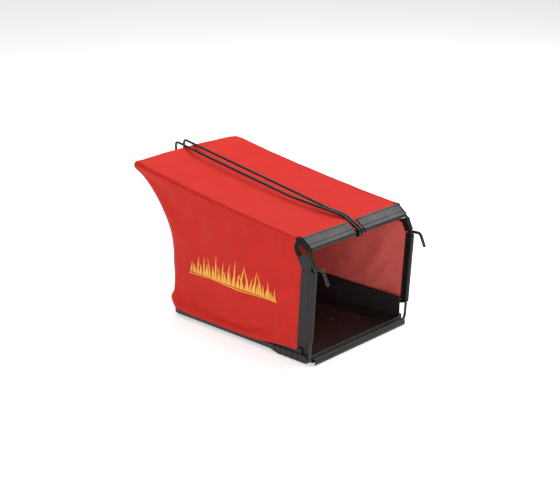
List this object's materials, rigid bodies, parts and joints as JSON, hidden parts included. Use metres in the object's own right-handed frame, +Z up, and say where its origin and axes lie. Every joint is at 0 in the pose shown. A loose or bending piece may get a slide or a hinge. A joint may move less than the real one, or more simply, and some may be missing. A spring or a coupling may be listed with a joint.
{
  "type": "reel mower grass catcher",
  "caption": "Fabric grass catcher with a moulded floor tray, a bent wire frame in clip strips, side hooks and a swinging hanger bail.",
  "frame": {"origin": "on the ground, below the middle of the whole object's box", "axes": "+X to the side (the mouth seen from the front has +X on its right), +Y to the rear of the bag, +Z up; the mouth opens towards -Y"},
  "size_m": [0.3202, 0.5848, 0.3434],
  "materials": {
    "coated_wire": "satin black coating",
    "clip_plastic": "fine matt, extruded",
    "tray_plastic": "matt moulded",
    "bag_cloth": "coated plain-weave cloth",
    "edge_tape": "woven tape"
  },
  "bodies": {
    "root": {"floor_tray": "tray_plastic", "front_sill_profile": "clip_plastic", "frame_wire": "coated_wire", "hook_left": "coated_wire", "hook_right": "coated_wire", "top_strip_left": "clip_plastic", "top_strip_right": "clip_plastic", "shoulder_strip_left": "clip_plastic", "shoulder_strip_right": "clip_plastic", "side_strip_left": "clip_plastic", "side_strip_right": "clip_plastic", "bag_top_panel": "bag_cloth", "bag_side_panel_left": "bag_cloth", "bag_side_panel_right": "bag_cloth", "bag_rear_panel": "bag_cloth", "corner_binding_left": "edge_tape", "corner_binding_right": "edge_tape", "support_bow": "coated_wire", "hem_strip_left": "tray_plastic", "hem_strip_right": "tray_plastic", "hem_strip_rear": "tray_plastic"},
    "bail": {"bail_wire": "coated_wire"}
  },
  "joints": [
    {"name": "bail_pivot", "type": "hinge", "parent": "root", "child": "bail", "pos_m": [0, -0.23814, 0.246], "axis": [1, 0, 0], "range_deg": [0, 180]}
  ]
}
